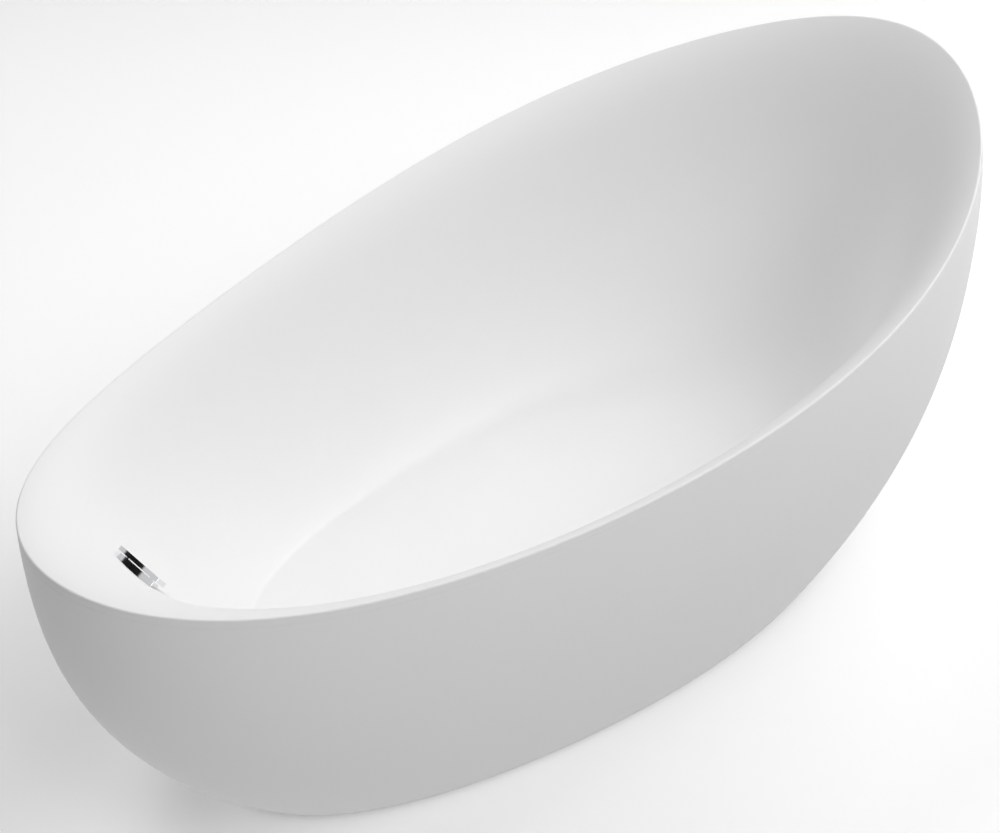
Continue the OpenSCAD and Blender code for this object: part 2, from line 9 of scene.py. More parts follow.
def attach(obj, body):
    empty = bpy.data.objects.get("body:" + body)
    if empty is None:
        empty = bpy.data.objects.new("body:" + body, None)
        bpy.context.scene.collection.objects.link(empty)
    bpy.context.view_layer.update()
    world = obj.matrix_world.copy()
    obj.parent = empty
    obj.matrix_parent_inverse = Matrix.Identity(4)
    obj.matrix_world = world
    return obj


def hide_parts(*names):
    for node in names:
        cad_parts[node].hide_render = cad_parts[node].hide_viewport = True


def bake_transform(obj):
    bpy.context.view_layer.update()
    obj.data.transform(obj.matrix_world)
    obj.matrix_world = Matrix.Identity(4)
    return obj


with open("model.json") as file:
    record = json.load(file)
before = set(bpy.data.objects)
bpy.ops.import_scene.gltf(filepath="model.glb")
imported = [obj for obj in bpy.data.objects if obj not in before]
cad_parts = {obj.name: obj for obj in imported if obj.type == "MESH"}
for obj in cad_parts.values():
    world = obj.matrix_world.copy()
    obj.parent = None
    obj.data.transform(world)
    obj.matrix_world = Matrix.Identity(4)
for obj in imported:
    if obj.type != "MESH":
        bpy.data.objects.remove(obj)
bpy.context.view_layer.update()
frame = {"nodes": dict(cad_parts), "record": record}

# ---------- Sizes, the same as in the CAD source ----------

BATH_L, BATH_W = 1.900, 0.950
FOOT_RIM, HEAD_RIM = 0.600, 0.800
RIM_DIP, RIM_SKEW, RIM_LIFT = 0.094, 0.007, 0.018
BELT_Z, TUCK, TUCK_POWER = 0.535, 0.235, 2.3
EGG_FAT, EGG_TRIM = 0.142, 0.132
FLOOR_Z, FLOOR_FOOT, FLOOR_HEAD, FLOOR_W = 0.150, -0.590, 0.490, 0.510
FLOOR_BLUNT, FLOOR_BLUNT_FOOT = 2.35, 0.35
ROLL_REACH = (0.43, 0.71, 0.33)
ROLL_DROP = (0, 0.19, 0.30)
LAND_REACH = (0.95, 0.49, 0.32)
SKIN_T, BASIN_T = 0.006, 0.008
EDGE_R, LIP_H, LIP_SEAM, SEAM_R = 0.0032, 0.014, 0.0001, 0.0002
SHELL_BOTTOM, TRIM_T, TRIM_DROP, TRIM_PLAY, TRIM_R = 0.008, 0.004, 0.005, 0.0002, 0.0012
BEAD_GAP, BEAD_H, BEAD_PLAY = 0.0012, 0.020, 0.002
BEAD_ON_LIP, UNDER_START = (0.03, 0.15), 0.1415
FLOOR_UNDER = FLOOR_Z - 0.010
DRAIN_X = -0.440
DISH_R, DISH_DROP, SEAT_R, HOLE_R = 0.150, 0.003, 0.038, 0.026
CAP_R, CAP_T, CAP_CROWN, CAP_Z, CAP_BEVEL = 0.031, 0.004, 0.002, 0.15225, 0.001
SPRING_R, SPRING_WIRE_R, SPRING_TURNS = 0.0049, 0.00045, 5
SPRING_LOW, SPRING_HIGH = 0.1106, 0.1214
FOOT_X, RAIL_GAP = (-0.500, -0.050, 0.400), 0.300
STEM_R, STEM_LOW, STEM_TOP = 0.006, 0.008, 0.112
THREAD_PITCH, THREAD_DEPTH = 0.00175, 0.0007
COLLAR_R, COLLAR_LOW, COLLAR_TOP, COLLAR_BEVEL = 0.010, 0.014, 0.021, 0.0008
OVERFLOW_S, OVERFLOW_TILT, SPIGOT_X, SPIGOT_L = 0.288, 10, -0.026, 0.038
BLOCK_W, BLOCK_H, BLOCK_R, BLOCK_IN, BLOCK_OUT = 0.085, 0.014, 0.002, 0.0038, 0.0092
BLOCK_GAP, WALL_BEND = 0.0005, 0.440
SLOT_W, SLOT_STEP, SLOT_SKIN, SLOTS_EACH_SIDE = 0.007, 0.010, 0.0012, 2
NECK_W, NECK_H, NECK_BORE_W, NECK_BORE_H, NECK_IN = 0.070, 0.010, 0.046, 0.006, -0.022
SPACER_Y, SPACER_W, SPACER_H, SPACER_L = 0.030, 0.008, 0.006, 0.0046
HOSE_R, RIB_PITCH, RIB_DEPTH, HOSE_CUFF = 0.016, 0.0045, 0.0018, 0.016
HOSE_BENDS = ((-0.828, 0, 0.320), (-0.805, 0, 0.210), (-0.735, 0, 0.135), (-0.640, 0, 0.110))
HOSE_END = (DRAIN_X - 0.062, 0, 0.108)
EDGE_ROUNDING, WELD_GAP, SHARP_ANGLE = 0.0004, 0.00001, math.radians(40)

# ---------- How finely the curves are divided ----------

WALL_ROWS, FIRST_WALL_ROW, WALL_ROW_POWER, UNDER_STRIDE = 90, 3, 1.3, 4
EDGE_STEPS, THREAD_ROWS, RIB_ROWS, SPRING_STEPS, CORNER_STEPS = 12, 6, 6, 36, 6
TIP_R = 0.0002

# ---------- Shape of the bath ----------

AROUND = 240
TURNS = [2 * math.pi * i / AROUND for i in range(AROUND)]


def egg(u):
    """Half width of the egg outline: u runs from -1 at the foot end to 1 at the head end."""
    return math.sqrt(max(0.0, 1 - u * u)) * (1 + EGG_FAT * u - EGG_TRIM * u**3)


EGG_PEAK = max(egg(i / 100 - 1) for i in range(201))


def section(z):
    """Size of the level section at height z, as a share of the widest one."""
    return 1 - TUCK * (abs(BELT_Z - z) / BELT_Z) ** TUCK_POWER


def rim_z(u):
    middle, slope = (FOOT_RIM + HEAD_RIM) / 2, (HEAD_RIM - FOOT_RIM) / 2
    return middle + slope * u - (1 - u * u) * (RIM_DIP - RIM_SKEW * u + RIM_LIFT * u * u)


def side_of(turn):
    return -1 if math.sin(turn) < 0 else 1


def outside(turn, z):
    """Point on the outer face: turn runs once round from the foot end."""
    u, k = -math.cos(turn), section(z)
    return Vector((BATH_L / 2 * u * k, side_of(turn) * BATH_W / 2 * egg(u) / EGG_PEAK * k, z))


def outward(turn):
    step = math.radians(1)
    d = outside(turn + step, BELT_Z) - outside(turn - step, BELT_Z)
    return Vector((-d.y, d.x, 0)).normalized()


OUTWARD = {t: outward(t) for t in TURNS}


def inside(turn, z, d):
    return outside(turn, z) - OUTWARD[turn] * d


def floor_edge(turn):
    u = -math.cos(turn)
    n = FLOOR_BLUNT - FLOOR_BLUNT_FOOT * u
    half = FLOOR_W / 2 * max(0.0, 1 - abs(u) ** n) ** (1 / n)
    x = (FLOOR_FOOT + FLOOR_HEAD) / 2 + (FLOOR_HEAD - FLOOR_FOOT) / 2 * u
    return Vector((x, side_of(turn) * half, FLOOR_Z))


def along(triple, u):
    """Value at u of a triple given at the foot end, mid length and head end."""
    foot, middle, head = triple
    return foot * u * (u - 1) / 2 + middle * (1 - u * u) + head * u * (u + 1) / 2


def bezier(h1, h2, s):
    return 3 * s * (1 - s) ** 2 * h1 + 3 * s * s * (1 - s) * h2 + s**3


def wall(turn, s):
    """Bathing side of the basin wall: s runs from 0 at the rim to 1 at the floor."""
    u = -math.cos(turn)
    rim, base = outside(turn, rim_z(u)), floor_edge(turn)
    reach = bezier(along(ROLL_REACH, u), along(LAND_REACH, u), s)
    drop = bezier(along(ROLL_DROP, u), 1, s)
    level = rim.lerp(base, reach)
    return Vector((level.x, level.y, rim.z + (base.z - rim.z) * drop))


def wall_face(turn, s):
    """Unit direction from the wall towards the bather."""
    step = math.radians(1)
    down = wall(turn, s + 0.01) - wall(turn, s - 0.01)
    round_ = wall(turn + step, s) - wall(turn - step, s)
    return down.cross(round_).normalized()


# ---------- Mesh helpers ----------


def ring_faces(rows, count, closed):
    """Quads between successive rings of count points; closed joins the last ring to the first."""
    faces = []
    for r in range(rows if closed else rows - 1):
        low, high = r * count, (r + 1) % rows * count
        for i in range(count):
            j = (i + 1) % count
            faces.append((low + i, low + j, high + j, high + i))
    return faces


def band(rings):
    """Points and faces of a band whose section is a closed loop of rings."""
    return [p for ring in rings for p in ring], ring_faces(len(rings), len(rings[0]), True)


def rod(rings):
    """Points and faces of a stack of rings with a flat face at each end."""
    count = len(rings[0])
    first = (len(rings) - 1) * count
    ends = [tuple(reversed(range(count))), tuple(range(first, first + count))]
    return [p for ring in rings for p in ring], ring_faces(len(rings), count, False) + ends


def circle(centre, a, b, r, sides):
    """Ring of points round centre, in the plane of the unit directions a and b."""
    turns = [2 * math.pi * i / sides for i in range(sides)]
    return [centre + r * (math.cos(t) * a + math.sin(t) * b) for t in turns]


def level_circle(x, y, z, r, sides=48):
    return circle(Vector((x, y, z)), Vector((1, 0, 0)), Vector((0, 1, 0)), r, sides)


def add_piece(name, solids, body, slot, node):
    """One visual piece made of some closed solids, in place of a CAD node."""
    points, faces = [], []
    for solid_points, solid_faces in solids:
        start = len(points)
        points += solid_points
        faces += [tuple(start + i for i in face) for face in solid_faces]
    mesh = bpy.data.meshes.new(name)
    mesh.from_pydata(points, [], faces)
    mesh.shade_smooth()
    mesh.set_sharp_from_angle(angle=SHARP_ANGLE)
    piece = bpy.data.objects.new(name, mesh)
    bpy.context.scene.collection.objects.link(piece)
    mesh.materials.append(MATERIALS[slot])
    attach(piece, body)
    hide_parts(node)
    return piece


def rim_ring(d, drop):
    """Ring that follows the rim, d inside the outer face and drop below its top."""
    return [inside(t, rim_z(-math.cos(t)) - drop, d) for t in TURNS]


# ---------- Materials ----------


def new_material(name, color, roughness, metallic=0.0):
    material = bpy.data.materials.new(name)
    material.use_nodes = True
    shader = material.node_tree.nodes["Principled BSDF"]
    shader.inputs["Base Color"].default_value = (*color, 1)
    shader.inputs["Roughness"].default_value = roughness
    shader.inputs["Metallic"].default_value = metallic
    return material


def noise(material, scale, detail=2.0):
    nodes, links = material.node_tree.nodes, material.node_tree.links
    where = nodes.new("ShaderNodeTexCoord")
    texture = nodes.new("ShaderNodeTexNoise")
    texture.inputs["Scale"].default_value = scale
    texture.inputs["Detail"].default_value = detail
    links.new(where.outputs["Object"], texture.inputs["Vector"])
    return texture.outputs["Fac"]


def vary(material, socket, value, low, high):
    """Lets a texture value move a shader socket between low and high."""
    nodes, links = material.node_tree.nodes, material.node_tree.links
    span = nodes.new("ShaderNodeMapRange")
    span.inputs["To Min"].default_value = low
    span.inputs["To Max"].default_value = high
    links.new(value, span.inputs["Value"])
    links.new(span.outputs["Result"], nodes["Principled BSDF"].inputs[socket])


def vary_color(material, value, low, high):
    nodes, links = material.node_tree.nodes, material.node_tree.links
    mix = nodes.new("ShaderNodeMix")
    mix.data_type = "RGBA"
    mix.inputs["A"].default_value = (*low, 1)
    mix.inputs["B"].default_value = (*high, 1)
    links.new(value, mix.inputs["Factor"])
    links.new(mix.outputs["Result"], nodes["Principled BSDF"].inputs["Base Color"])


def bump(material, value, strength, distance):
    nodes, links = material.node_tree.nodes, material.node_tree.links
    node = nodes.new("ShaderNodeBump")
    node.inputs["Strength"].default_value = strength
    node.inputs["Distance"].default_value = distance
    links.new(value, node.inputs["Height"])
    links.new(node.outputs["Normal"], nodes["Principled BSDF"].inputs["Normal"])


def cast_white(name):
    """Matte white mineral casting: faint mottling, a fine tooth and a soft sheen."""
    material = new_material(name, (0.86, 0.86, 0.86), 0.5)
    vary_color(material, noise(material, 6), (0.858, 0.856, 0.855), (0.869, 0.867, 0.866))
    vary(material, "Roughness", noise(material, 40), 0.46, 0.56)
    bump(material, noise(material, 900, 3), 0.05, 0.0002)
    material.node_tree.nodes["Principled BSDF"].inputs["Specular IOR Level"].default_value = 0.22
    return material


def rubber(name, color):
    material = new_material(name, color, 0.7)
    vary(material, "Roughness", noise(material, 120), 0.6, 0.8)
    bump(material, noise(material, 1500), 0.15, 0.0002)
    return material


def galvanised(name):
    """Zinc coat with its broad crystal patches."""
    material = new_material(name, (0.6, 0.61, 0.63), 0.4, metallic=1.0)
    vary_color(material, noise(material, 60, 4), (0.52, 0.53, 0.55), (0.68, 0.69, 0.71))
    vary(material, "Roughness", noise(material, 90), 0.32, 0.5)
    return material


def polished_metal(name, color, roughness):
    """Polished metal whose gloss wavers by a fifth."""
    material = new_material(name, color, roughness, metallic=1.0)
    vary(material, "Roughness", noise(material, 200, 4), roughness, roughness * 1.2)
    return material


def moulded_plastic(name, color):
    material = new_material(name, color, 0.4)
    vary(material, "Roughness", noise(material, 150), 0.34, 0.48)
    bump(material, noise(material, 1200), 0.08, 0.0002)
    return material


def fibre_board(name):
    material = new_material(name, (0.5, 0.36, 0.2), 0.75)
    vary_color(material, noise(material, 250, 6), (0.36, 0.25, 0.14), (0.62, 0.47, 0.29))
    bump(material, noise(material, 700, 4), 0.3, 0.0004)
    return material


MATERIALS = {
    "basin_white": cast_white("basin_white"),
    "shell_white": cast_white("shell_white"),
    "adhesive": rubber("adhesive", (0.75, 0.75, 0.72)),
    "trim_grey": rubber("trim_grey", (0.5, 0.5, 0.5)),
    "board": fibre_board("board"),
    "zinc_steel": galvanised("zinc_steel"),
    "screw_steel": polished_metal("screw_steel", (0.6, 0.6, 0.62), 0.25),
    "chrome": polished_metal("chrome", (0.85, 0.86, 0.88), 0.02),
    "seal_rubber": rubber("seal_rubber", (0.02, 0.02, 0.02)),
    "brass": polished_metal("brass", (0.72, 0.5, 0.2), 0.25),
    "spring_steel": polished_metal("spring_steel", (0.65, 0.65, 0.68), 0.2),
    "hose_grey": moulded_plastic("hose_grey", (0.55, 0.56, 0.57)),
    "pad_rubber": rubber("pad_rubber", (0.03, 0.03, 0.03)),
    "pipe_plastic": moulded_plastic("pipe_plastic", (0.8, 0.8, 0.8)),
}


def round_edges(node):
    """Small even rounding along the sharp edges, with the flat faces kept flat to the light."""
    weld = node.modifiers.new("weld", "WELD")
    weld.merge_threshold = WELD_GAP
    bevel = node.modifiers.new("bevel", "BEVEL")
    bevel.width = EDGE_ROUNDING
    bevel.segments = 2
    bevel.limit_method = "ANGLE"
    bevel.angle_limit = SHARP_ANGLE
    even = node.modifiers.new("even", "WEIGHTED_NORMAL")
    even.weight = 100


def finish_cad_nodes():
    """Gives every CAD node its material, and a small rounding along its sharp edges."""
    for row in frame["record"]["subparts"]:
        node = frame["nodes"][row["node"]]
        node.data.materials.clear()
        node.data.materials.append(MATERIALS[row["material_slot"]])
        round_edges(node)


# ---------- Shell pieces ----------


def dish_z(x, y):
    """Height of the bathing floor, which falls softly to the waste."""
    r = math.hypot(x - DRAIN_X, y)
    share = min(1.0, max(0.0, (DISH_R - r) / (DISH_R - SEAT_R)))
    return FLOOR_Z - DISH_DROP * share


def drain_ring(r, z):
    return [Vector((DRAIN_X - r * math.cos(t), r * math.sin(t), z)) for t in TURNS]


def floor_rings(rows=40):
    """Rings from the floor's outline in to the seat of the waste."""
    edge = [floor_edge(t) for t in TURNS]
    seat = drain_ring(SEAT_R, FLOOR_Z)
    rings = []
    for i in range(1, rows + 1):
        level = [a.lerp(b, i / rows) for a, b in zip(edge, seat)]
        rings.append([Vector((p.x, p.y, dish_z(p.x, p.y))) for p in level])
    return rings


def edge_point(turn, share):
    """Point on the rim's rounded edge: share runs from 0 on the outer face to 1 on the wall."""
    rim = outside(turn, rim_z(-math.cos(turn)))
    down_outside = (outside(turn, rim.z - 0.01) - rim).normalized()
    down_wall = (wall(turn, 0.01) - rim).normalized()
    half = down_outside.angle(down_wall) / 2
    centre = rim + (down_outside + down_wall).normalized() * EDGE_R / math.sin(half)
    start = rim + down_outside * EDGE_R / math.tan(half) - centre
    end = rim + down_wall * EDGE_R / math.tan(half) - centre
    return centre + start.normalized().slerp(end.normalized(), share) * EDGE_R


def under_wall(turn, s):
    return wall(turn, s) - wall_face(turn, s) * BASIN_T


def build_basin():
    """One-piece casting: rounded rim, wall, floor with its waste hole, and underside."""
    steps = [(i / WALL_ROWS) ** WALL_ROW_POWER for i in range(FIRST_WALL_ROW, WALL_ROWS + 1)]
    lip = [rim_ring(SKIN_T, LIP_H), rim_ring(SEAM_R, LIP_H), rim_ring(0, LIP_H - SEAM_R)]
    lip += [[edge_point(t, k / EDGE_STEPS) for t in TURNS] for k in range(EDGE_STEPS + 1)]
    face = [[wall(t, s) for t in TURNS] for s in steps]
    waste = [drain_ring(HOLE_R, FLOOR_Z - DISH_DROP), drain_ring(HOLE_R, FLOOR_UNDER)]
    lower = [s for s in steps[-UNDER_STRIDE:0:-UNDER_STRIDE] if s > UNDER_START]
    under = [[under_wall(t, s) for t in TURNS] for s in lower]
    under.append([under_wall(t, UNDER_START) for t in TURNS])
    under_floor = [[Vector((p.x, p.y, FLOOR_UNDER)) for p in map(floor_edge, TURNS)]]
    rings = lip + face + floor_rings() + waste + under_floor + under
    add_piece("basin", [band(rings)], "bath", "basin_white", "bath_basin")


def shell_point(turn, h, d):
    """Point of the shell: h runs from 0 at its bottom edge to 1 below the basin's lip."""
    top = rim_z(-math.cos(turn)) - LIP_H - LIP_SEAM
    return inside(turn, SHELL_BOTTOM + (top - SHELL_BOTTOM) * h, d)


def build_shell(rows=80):
    heights = [i / rows for i in range(rows + 1)]
    outer = [[shell_point(t, h, 0) for t in TURNS] for h in heights]
    inner = [[shell_point(t, h, SKIN_T) for t in TURNS] for h in reversed(heights[::4])]
    add_piece("shell", [band(outer + inner)], "bath", "shell_white", "outer_shell")


def under_lip_ring(share):
    """Ring just below the lip's underside, a share of the way from its outer corner to the wall."""
    ring = []
    for t in TURNS:
        corner = inside(t, rim_z(-math.cos(t)) - LIP_H, SKIN_T)
        ring.append(corner.lerp(under_wall(t, UNDER_START), share) - Vector((0, 0, BEAD_PLAY)))
    return ring


def build_bead(hollow_depth=0.4):
    """Adhesive bead in the corner below the lip, with a hollow face as a finger leaves it."""
    low = rim_ring(SKIN_T + BEAD_GAP, LIP_H + BEAD_H)
    corner, tip = under_lip_ring(BEAD_ON_LIP[0]), under_lip_ring(BEAD_ON_LIP[1])
    hollow = []
    for k in (0.25, 0.5, 0.75):
        bulge = hollow_depth * k * (1 - k)
        hollow.append([a.lerp(b, k).lerp(c, bulge) for a, b, c in zip(tip, low, corner)])
    add_piece("bead", [band([low, corner, tip, *hollow])], "bath", "adhesive", "rim_adhesive")


def build_trim():
    """Soft strip under the shell's edge, with rounded lower corners."""
    inner, r = SKIN_T - TRIM_T - TRIM_PLAY, TRIM_R
    arc = [math.radians(a) for a in (0, 30, 60, 90)]
    section = [(inner, 0)]
    section += [(inner + r * (1 - math.cos(a)), TRIM_DROP - r * (1 - math.sin(a))) for a in arc]
    section += [(SKIN_T - r * (1 - math.cos(a)), TRIM_DROP - r * (1 - math.sin(a))) for a in arc[::-1]]
    section += [(SKIN_T, 0)]
    rings = [[inside(t, SHELL_BOTTOM - drop, d) for t in TURNS] for d, drop in section]
    add_piece("trim", [band(rings)], "bath", "trim_grey", "base_trim")


# ---------- Feet, plug and hose ----------


def thread_ring(x, y, z, sides=20):
    """Ring of a screw thread at height z, whose ridge climbs as it goes round."""
    ring = []
    for i in range(sides):
        phase = 2 * math.pi * (z / THREAD_PITCH - i / sides)
        r = STEM_R - THREAD_DEPTH * (1 - math.cos(phase)) / 2
        turn = 2 * math.pi * i / sides
        ring.append(Vector((x + r * math.cos(turn), y + r * math.sin(turn), z)))
    return ring


def build_foot_stems():
    """Threaded stem of each foot, with the hexagon that a spanner turns."""
    rows = int((STEM_TOP - STEM_LOW) / THREAD_PITCH * THREAD_ROWS)
    heights = [STEM_LOW + (STEM_TOP - STEM_LOW) * i / rows for i in range(rows + 1)]
    places = [(x, side * RAIL_GAP / 2) for x in FOOT_X for side in (-1, 1)]
    b = COLLAR_BEVEL
    for k, (x, y) in enumerate(places, 1):
        stem = rod([thread_ring(x, y, z) for z in heights])
        section = [(COLLAR_R - b, COLLAR_LOW), (COLLAR_R, COLLAR_LOW + b),
                   (COLLAR_R, COLLAR_TOP - b), (COLLAR_R - b, COLLAR_TOP)]
        collar = rod([level_circle(x, y, z, r, sides=6) for r, z in section])
        add_piece(f"threaded_stem_{k}", [stem, collar], f"foot_{k}", "zinc_steel", f"foot_stem_{k}")


def build_cap():
    """Plug cap: a shallow dome that runs into a rounded edge."""
    arc = [math.radians(a) for a in range(0, 91, 5)]
    section = [(TIP_R, CAP_Z), (CAP_R - CAP_BEVEL, CAP_Z), (CAP_R, CAP_Z + CAP_BEVEL)]
    low = CAP_Z + CAP_T - CAP_CROWN
    section += [(max(CAP_R * math.cos(a), TIP_R), low + CAP_CROWN * math.sin(a)) for a in arc]
    rings = [level_circle(DRAIN_X, 0, z, r, 96) for r, z in section]
    add_piece("cap", [rod(rings)], "plug", "chrome", "plug_cap")


def build_spring():
    """Coil between the cartridge and the plug's stem, built at one fixed length; the real one stretches as
    the plug lifts.
    """
    steps = SPRING_TURNS * SPRING_STEPS
    rings = []
    for i in range(steps + 1):
        turn = 2 * math.pi * SPRING_TURNS * i / steps
        out = Vector((math.cos(turn), math.sin(turn), 0))
        z = SPRING_LOW + (SPRING_HIGH - SPRING_LOW) * i / steps
        centre = Vector((DRAIN_X, 0, z)) + SPRING_R * out
        rings.append(circle(centre, out, Vector((0, 0, 1)), SPRING_WIRE_R, 10))
    coil = add_piece("coil", [rod(rings)], "bath", "spring_steel", "plug_spring")
    coil.parent = None
    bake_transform(coil)


def spline(a, b, c, d, t):
    """Point at t on the smooth curve from b to c, with a before it and d after it."""
    bend = (2 * a - 5 * b + 4 * c - d) * t * t + (3 * b - a - 3 * c + d) * t**3
    return (2 * b + (c - a) * t + bend) / 2


def overflow_point(x, y, z):
    """Point in the frame of the overflow's block: x out of the wall, y across and z up."""
    face, bath_y = wall_face(0, OVERFLOW_S), Vector((0, 1, 0))
    out = Matrix.Rotation(math.radians(OVERFLOW_TILT), 3, "Y") @ face
    start = wall(0, OVERFLOW_S) + BLOCK_IN * (face - out)
    return start + x * out + y * bath_y + z * out.cross(bath_y)


def block_back(y, z):
    """How far out the block's back lies, which follows the bend of the wall."""
    tilt = math.radians(OVERFLOW_TILT)
    off_wall = BLOCK_GAP + y * y / (2 * WALL_BEND)
    return BLOCK_IN + (off_wall - BLOCK_IN - z * math.sin(tilt)) / math.cos(tilt)


def block_section(y, slotted):
    """Section across the block at y, with or without a water slot in its lower side."""
    past_corner = max(0.0, abs(y) - (BLOCK_W / 2 - BLOCK_R))
    top = BLOCK_H / 2 - BLOCK_R + math.sqrt(max(0.0, BLOCK_R**2 - past_corner**2))
    low, notch = -top, 0 if slotted else -top
    slot_in, slot_out = BLOCK_IN + SLOT_SKIN, BLOCK_OUT - SLOT_SKIN
    corners = [(block_back(y, low), low), (block_back(y, top), top), (BLOCK_OUT, top), (BLOCK_OUT, low)]
    corners += [(slot_out, low), (slot_out, notch), (slot_in, notch), (slot_in, low)]
    return [overflow_point(x, y, z) for x, z in corners]


def slab_ring(x, y, width, height):
    """Rectangle that faces along x, round the point y across the block."""
    half_w, half_h = width / 2, height / 2
    corners = ((-half_w, -half_h), (half_w, -half_h), (half_w, half_h), (-half_w, half_h))
    return [overflow_point(x, y + dy, dz) for dy, dz in corners]


def build_overflow_block():
    """Block behind the overflow's cover, with its water slots, two spacers and hollow neck."""
    end, corner = BLOCK_W / 2, BLOCK_W / 2 - BLOCK_R
    turns = [math.pi / 2 * k / CORNER_STEPS for k in range(CORNER_STEPS + 1)]
    rings = [block_section(-end + BLOCK_R * (1 - math.cos(a)), False) for a in turns]
    for i in range(-SLOTS_EACH_SIDE, SLOTS_EACH_SIDE + 1):
        left, right = i * SLOT_STEP - SLOT_W / 2, i * SLOT_STEP + SLOT_W / 2
        for y, slotted in ((left, False), (left, True), (right, True), (right, False)):
            rings.append(block_section(y, slotted))
    rings += [block_section(corner + BLOCK_R * math.sin(a), False) for a in turns]
    solids = [rod(rings)]
    for side in (-1, 1):
        near, far = BLOCK_OUT - SLOT_SKIN / 2, BLOCK_OUT + SPACER_L
        solids.append(rod([slab_ring(x, side * SPACER_Y, SPACER_W, SPACER_H) for x in (near, far)]))
    neck_out = BLOCK_IN + SLOT_SKIN
    outer = [slab_ring(x, 0, NECK_W, NECK_H) for x in (NECK_IN, neck_out)]
    inner = [slab_ring(x, 0, NECK_BORE_W, NECK_BORE_H) for x in (neck_out, NECK_IN)]
    solids.append(band(outer + inner))
    block = add_piece("overflow_block", solids, "bath", "chrome", "overflow_body")
    round_edges(block)


def hose_line(steps=36):
    """Points along the middle of the hose, from the overflow's spigot down to the waste."""
    start = wall(0, OVERFLOW_S) + SPIGOT_X * wall_face(0, OVERFLOW_S) - Vector((0, 0, SPIGOT_L))
    route = [start, *map(Vector, HOSE_BENDS), Vector(HOSE_END)]
    padded = [route[0], *route, route[-1]]
    line = [spline(*padded[i:i + 4], k / steps) for i in range(len(route) - 1) for k in range(steps)]
    return line + [route[-1]]


def build_hose():
    """Corrugated hose with a plain cuff at each end."""
    line = hose_line()
    way = [0.0]
    for a, b in zip(line, line[1:]):
        way.append(way[-1] + (b - a).length)
    rings = []
    rows = int(way[-1] / RIB_PITCH * RIB_ROWS)
    k = 0
    for i in range(rows + 1):
        at = way[-1] * i / rows
        while k < len(line) - 2 and way[k + 1] < at:
            k += 1
        centre = line[k].lerp(line[k + 1], (at - way[k]) / (way[k + 1] - way[k]))
        along_ = (line[min(k + 2, len(line) - 1)] - line[max(k - 1, 0)]).normalized()
        plain = min(at, way[-1] - at) < HOSE_CUFF
        r = HOSE_R - (0 if plain else RIB_DEPTH * (1 - math.cos(2 * math.pi * at / RIB_PITCH)) / 2)
        rings.append(circle(centre, Vector((0, 1, 0)), Vector((0, 1, 0)).cross(along_), r, 32))
    add_piece("corrugated_hose", [rod(rings[::-1])], "bath", "hose_grey", "overflow_hose")


# ---------- Camera, floor and light ----------


SENSOR_W, LENS = 36, 63.14
CAMERA_AZIMUTH, CAMERA_ELEVATION, CAMERA_DISTANCE = -42.90, 37.27, 2.940
CAMERA_TARGET = (-0.0849, 0.0328, 0.3920)


def view_direction(azimuth, elevation):
    a, e = math.radians(azimuth), math.radians(elevation)
    return Vector((math.sin(a) * math.cos(e), -math.cos(a) * math.cos(e), math.sin(e)))


def add_camera():
    data = bpy.data.cameras.new("camera")
    data.sensor_width = SENSOR_W
    data.lens = LENS
    camera = bpy.data.objects.new("camera", data)
    back = view_direction(CAMERA_AZIMUTH, CAMERA_ELEVATION)
    camera.location = Vector(CAMERA_TARGET) + back * CAMERA_DISTANCE
    camera.rotation_mode = "QUATERNION"
    camera.rotation_quaternion = (-back).to_track_quat("-Z", "Y")
    bpy.context.scene.collection.objects.link(camera)
    bpy.context.scene.camera = camera


def add_stage_mesh(name, points, faces, material):
    mesh = bpy.data.meshes.new(name)
    mesh.from_pydata(points, [], faces)
    mesh.materials.append(material)
    piece = bpy.data.objects.new(name, mesh)
    bpy.context.scene.collection.objects.link(piece)
    return piece


def add_floor(size=60, brightness=0.12):
    """Pale floor. The world below the horizon gives its bounce, so it lights nothing itself."""
    corners = [(-size, -size, 0), (size, -size, 0), (size, size, 0), (-size, size, 0)]
    paint = new_material("floor", (0.95, 0.95, 0.95), 0.8)
    glow(paint, (1, 1, 1), brightness)
    floor = add_stage_mesh("floor", corners, [(0, 1, 2, 3)], paint)
    floor.visible_diffuse = False


def glow(material, color, strength):
    shader = material.node_tree.nodes["Principled BSDF"]
    shader.inputs["Emission Color"].default_value = (*color, 1)
    shader.inputs["Emission Strength"].default_value = strength


def only_mirrored(piece):
    """Lets a stage piece show in mirrors and throw no light or shadow."""
    piece.visible_camera = False
    piece.visible_diffuse = False
    piece.visible_shadow = False
    piece.visible_transmission = False


def add_room(radius=20, rows=24):
    """Grey room behind the floor, which the chrome mirrors. It throws no light."""
    paint = new_material("room", (0, 0, 0), 1.0)
    glow(paint, (1, 1, 1), ROOM_GREY)
    rings = []
    for k in range(1, rows):
        a = math.pi * k / rows
        rings.append(level_circle(0, 0, -radius * math.cos(a), radius * math.sin(a), 48))
    room = add_stage_mesh("room", *rod(rings), paint)
    only_mirrored(room)
    room.visible_camera = True


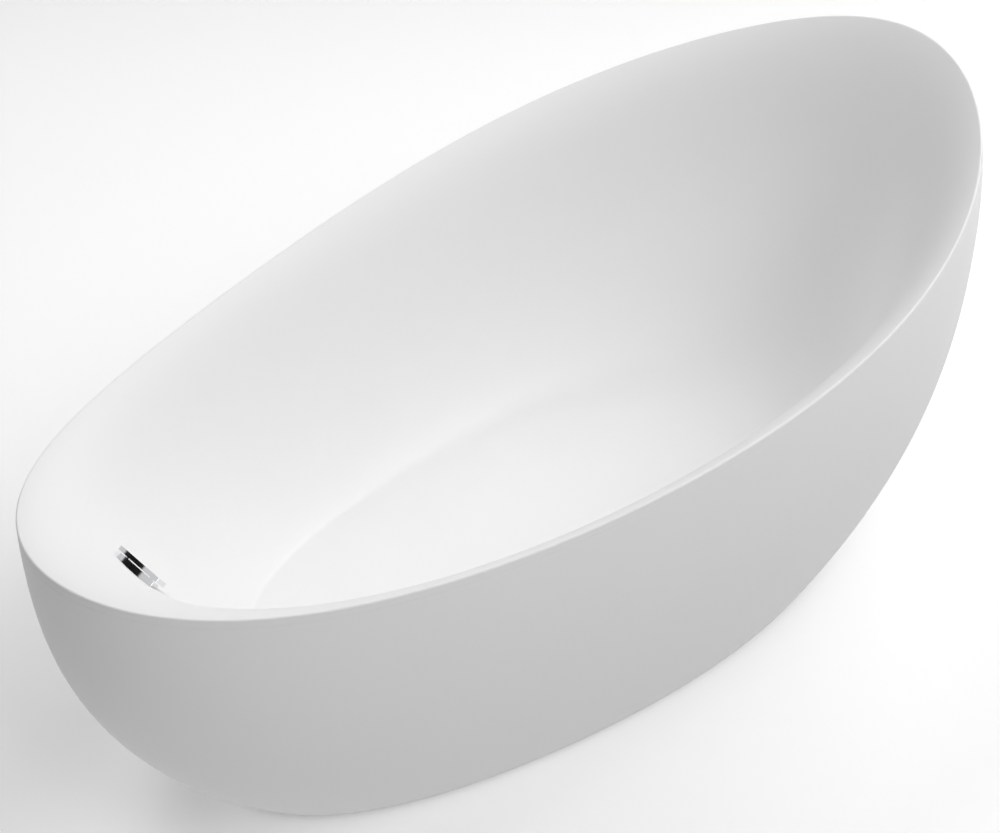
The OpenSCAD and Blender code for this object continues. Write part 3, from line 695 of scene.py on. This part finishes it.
def add_dark_card(distance=1.0, width=0.052, height=0.5):
    """Dark card with soft edges, where the overflow's upper edges mirror it to the camera."""
    bath_y = Vector((0, 1, 0))
    place = wall(0, OVERFLOW_S) + DARK_Y * bath_y
    sight = (place - bpy.context.scene.camera.location).normalized()
    upright = Matrix.Rotation(math.radians(OVERFLOW_TILT), 3, "Y")
    way = sight.reflect(upright @ wall_face(0, OVERFLOW_S).cross(bath_y))
    tall = way.cross(bath_y).normalized()
    across = tall.cross(way)
    paint = new_material("dark_card", (0, 0, 0), 1.0)
    glow(paint, (1, 1, 1), 0)
    fade_across(paint, width / 2, ROOM_GREY)
    half_w, half_h = width / 2, height / 2
    corners = [(-half_w, -half_h, 0), (half_w, -half_h, 0), (half_w, half_h, 0), (-half_w, half_h, 0)]
    card = add_stage_mesh("dark_card", corners, [(0, 1, 2, 3)], paint)
    turn = Matrix((across, tall, way)).transposed().to_4x4()
    card.matrix_world = Matrix.Translation(place + way * distance) @ turn
    only_mirrored(card)


def fade_across(material, half_width, strength, solid=0.8):
    """Glow that is nothing over the solid share round the middle and full at both edges."""
    nodes, links = material.node_tree.nodes, material.node_tree.links
    where = nodes.new("ShaderNodeTexCoord")
    parts = nodes.new("ShaderNodeSeparateXYZ")
    away = nodes.new("ShaderNodeMath")
    away.operation = "ABSOLUTE"
    climb = nodes.new("ShaderNodeMapRange")
    climb.interpolation_type = "SMOOTHSTEP"
    climb.inputs["From Min"].default_value = half_width * solid
    climb.inputs["From Max"].default_value = half_width
    climb.inputs["To Max"].default_value = strength
    links.new(where.outputs["Object"], parts.inputs["Vector"])
    links.new(parts.outputs["X"], away.inputs[0])
    links.new(away.outputs["Value"], climb.inputs["Value"])
    links.new(climb.outputs["Result"], nodes["Principled BSDF"].inputs["Emission Strength"])


def add_light(name, azimuth, elevation, watts, distance=5, size=3, aim_z=0.4):
    """Soft square light that looks at the middle of the bath."""
    data = bpy.data.lights.new(name, "AREA")
    data.size = size
    data.energy = watts
    light = bpy.data.objects.new(name, data)
    back = view_direction(azimuth, elevation)
    light.location = back * distance + Vector((0, 0, aim_z))
    light.rotation_mode = "QUATERNION"
    light.rotation_quaternion = (-back).to_track_quat("-Z", "Y")
    light.visible_camera = False
    bpy.context.scene.collection.objects.link(light)


def add_bounce(strength=0.77, horizon=0.001):
    """World that is white below the horizon, as the light thrown up by a pale floor, and dark above."""
    world = bpy.data.worlds.new("studio")
    world.use_nodes = True
    nodes, links = world.node_tree.nodes, world.node_tree.links
    where = nodes.new("ShaderNodeTexCoord")
    parts = nodes.new("ShaderNodeSeparateXYZ")
    below = nodes.new("ShaderNodeMapRange")
    below.inputs["From Min"].default_value = horizon
    below.inputs["From Max"].default_value = -horizon
    below.inputs["To Max"].default_value = strength
    links.new(where.outputs["Generated"], parts.inputs["Vector"])
    links.new(parts.outputs["Z"], below.inputs["Value"])
    links.new(below.outputs["Result"], nodes["Background"].inputs["Strength"])
    nodes["Background"].inputs["Color"].default_value = (1, 1, 1, 1)
    bpy.context.scene.world = world


# Brightness of the room in reflections, and where across the overflow its dark patch lies
ROOM_GREY = 0.64
DARK_Y = 0.006

# Azimuth, elevation and watts of each soft light round the bath
LIGHTS = {
    "foot_front": (-45, 50, 34),
    "head_front": (45, 50, 42),
    "head_side": (90, 50, 75),
    "front": (0, 50, 84),
    "far": (180, 50, 96),
    "head_low": (90, 15, 38),
}

add_camera()
add_floor()
add_bounce()
add_room()
add_dark_card()
for light_name, (azimuth, elevation, watts) in LIGHTS.items():
    add_light(light_name, azimuth, elevation, watts)
bpy.context.scene.view_settings.view_transform = "Standard"

finish_cad_nodes()
build_basin()
build_shell()
build_bead()
build_trim()
build_foot_stems()
build_cap()
build_spring()
build_overflow_block()
build_hose()
